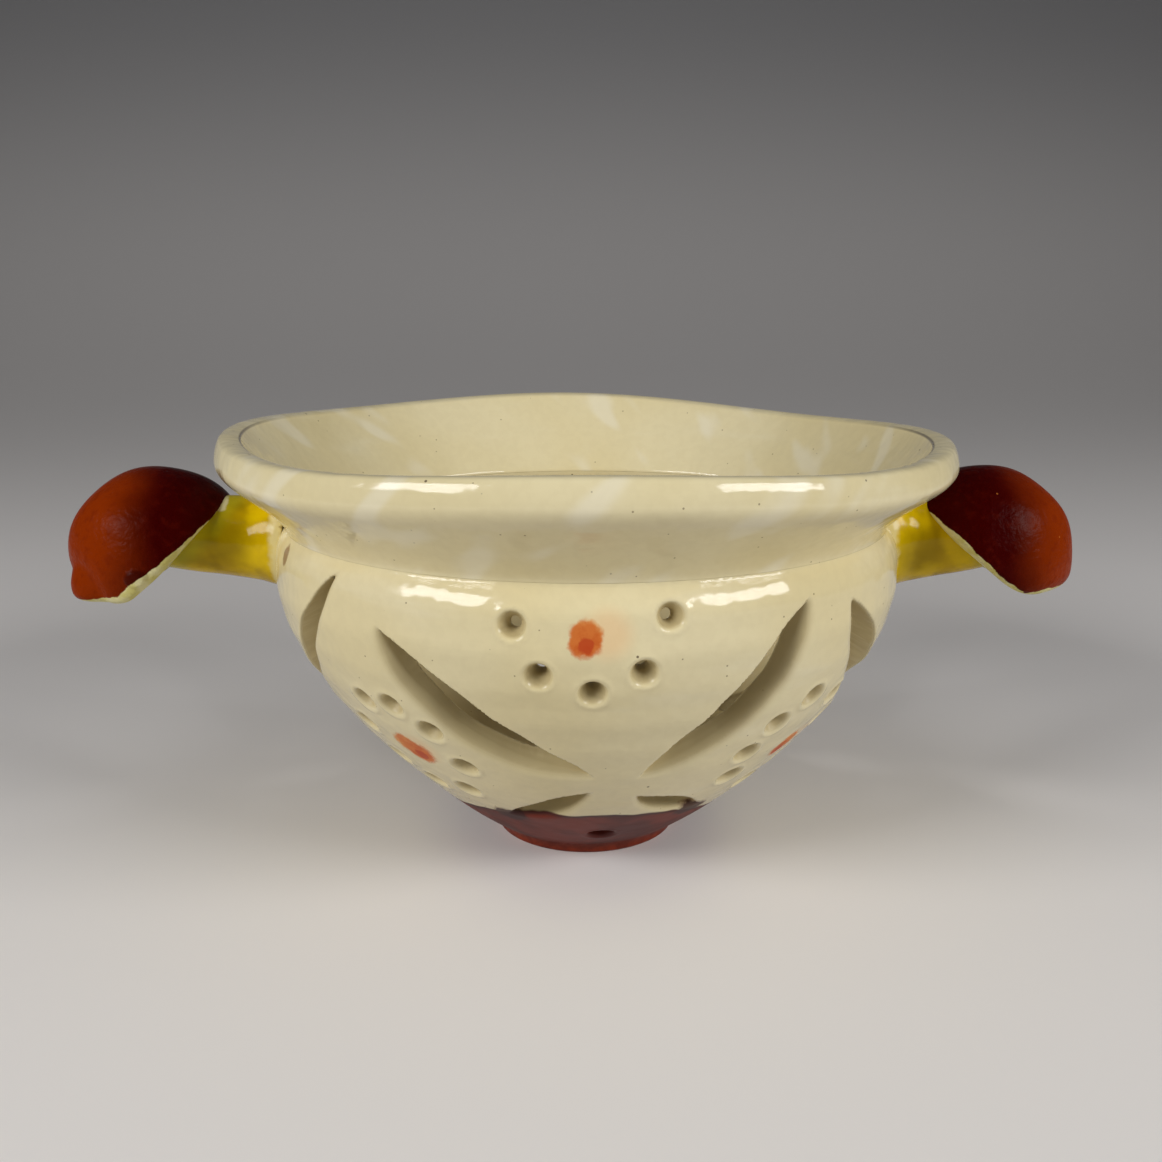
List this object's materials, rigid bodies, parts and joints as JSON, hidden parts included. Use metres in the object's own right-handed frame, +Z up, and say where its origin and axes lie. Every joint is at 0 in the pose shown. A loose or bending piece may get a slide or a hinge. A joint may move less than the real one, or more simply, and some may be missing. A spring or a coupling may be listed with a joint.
{
  "type": "berry colander bowl",
  "caption": "Pierced earthenware berry bowl with a flared collar, leaf-shaped slots, funnel-shaped drain holes, a foot ring and hooded lug handles.",
  "frame": {"origin": "centre of the foot ring, on the surface that the bowl stands on", "axes": "+Z up, X through the two handles, -Y towards the front"},
  "size_m": [0.2335, 0.165, 0.0968],
  "materials": {
    "cream_glaze": "gloss",
    "red_clay": "gloss",
    "yellow_glaze": "gloss",
    "brown_slip": "satin"
  },
  "bodies": {
    "root": {"bowl_belly": "cream_glaze", "rim_collar": "cream_glaze", "foot_ring": "red_clay", "left_lug": "yellow_glaze", "left_hood": "brown_slip", "right_lug": "yellow_glaze", "right_hood": "brown_slip"}
  },
  "joints": []
}
